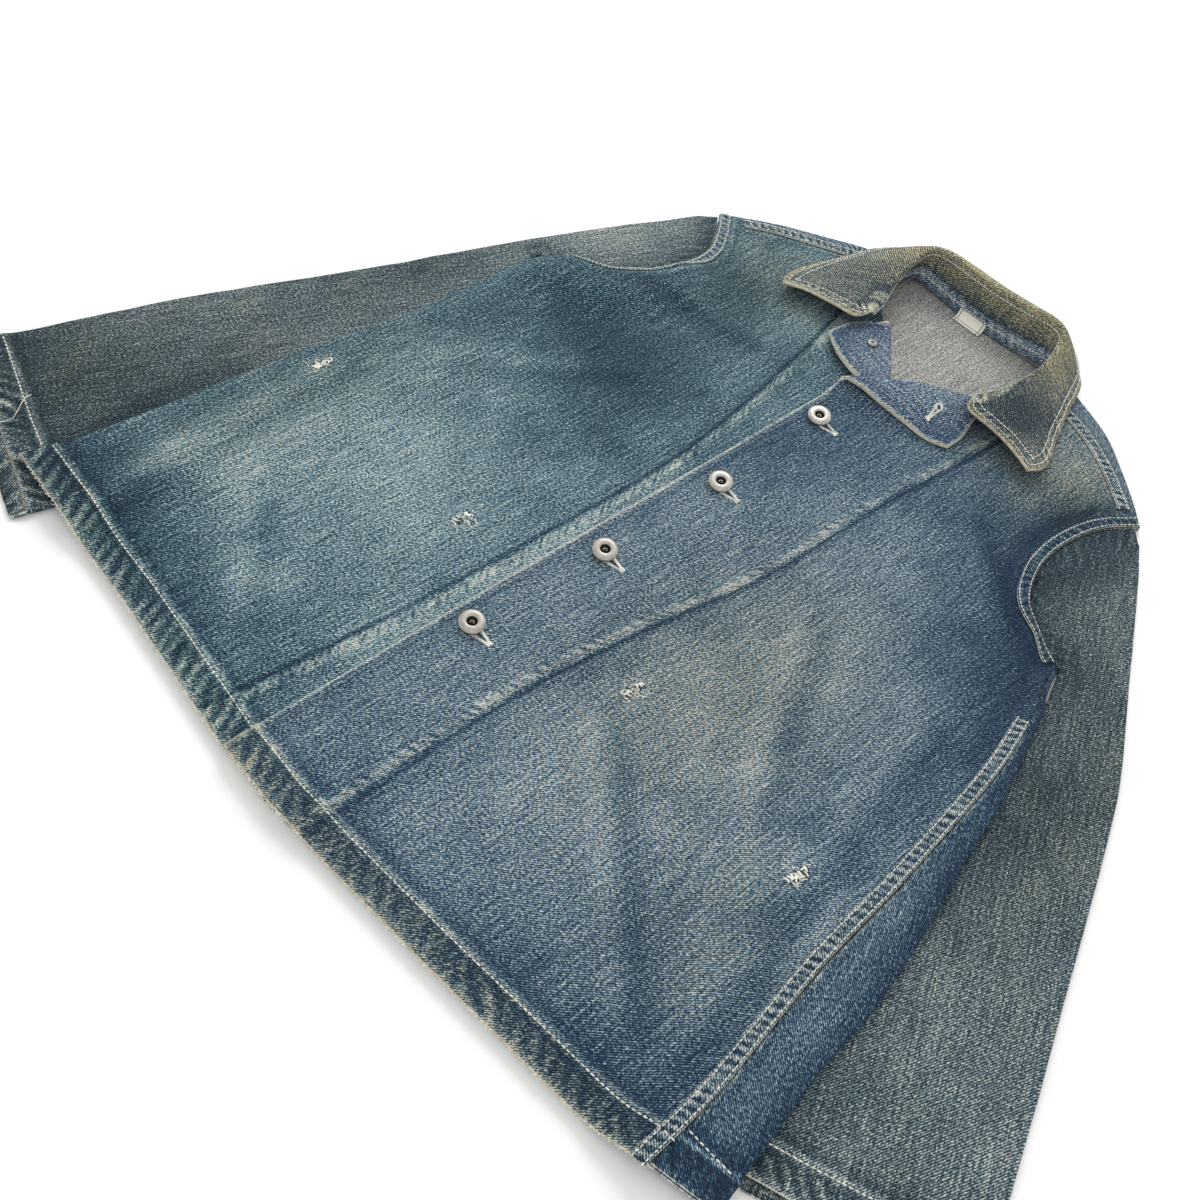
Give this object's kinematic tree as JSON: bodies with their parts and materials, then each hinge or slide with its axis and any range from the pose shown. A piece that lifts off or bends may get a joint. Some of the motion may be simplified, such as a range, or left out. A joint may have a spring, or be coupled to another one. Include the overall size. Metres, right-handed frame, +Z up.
{
  "type": "washed denim work jacket, laid flat",
  "caption": "Faded denim work jacket laid flat on its back, sleeves spread beside the body, collar standing and both lapels turned out.",
  "frame": {"origin": "centre of the jacket's bounding box, on the surface it lies on", "axes": "+X towards the wearer's left sleeve, +Y from the hem to the neck, +Z up off the surface"},
  "size_m": [0.8189, 0.7372, 0.0366],
  "materials": {
    "denim_body": "washed indigo denim, worn pale at the edges",
    "denim_sleeve": "washed indigo denim, greyed with dirt",
    "denim_facing": "cleaner inner strip of the same denim",
    "denim_collar": "two layers of denim, worn tan at the roll",
    "felled_seam": "folded seam allowance, roped light and dark",
    "label_cloth": "bare woven cotton tape",
    "button_metal": "dull worn metal"
  },
  "bodies": {
    "root": {"back": "denim_body", "left_front": "denim_body", "right_front": "denim_body", "left_facing": "denim_facing", "right_facing": "denim_facing", "left_sleeve": "denim_sleeve", "right_sleeve": "denim_sleeve", "collar": "denim_collar", "label": "label_cloth", "side_fell": "felled_seam", "left_armhole_fell": "felled_seam", "right_armhole_fell": "felled_seam", "left_shoulder_fell": "felled_seam", "right_shoulder_fell": "felled_seam", "button_1": "button_metal", "button_2": "button_metal", "button_3": "button_metal", "button_4": "button_metal", "button_5": "button_metal", "tack_back": "button_metal"}
  },
  "joints": []
}
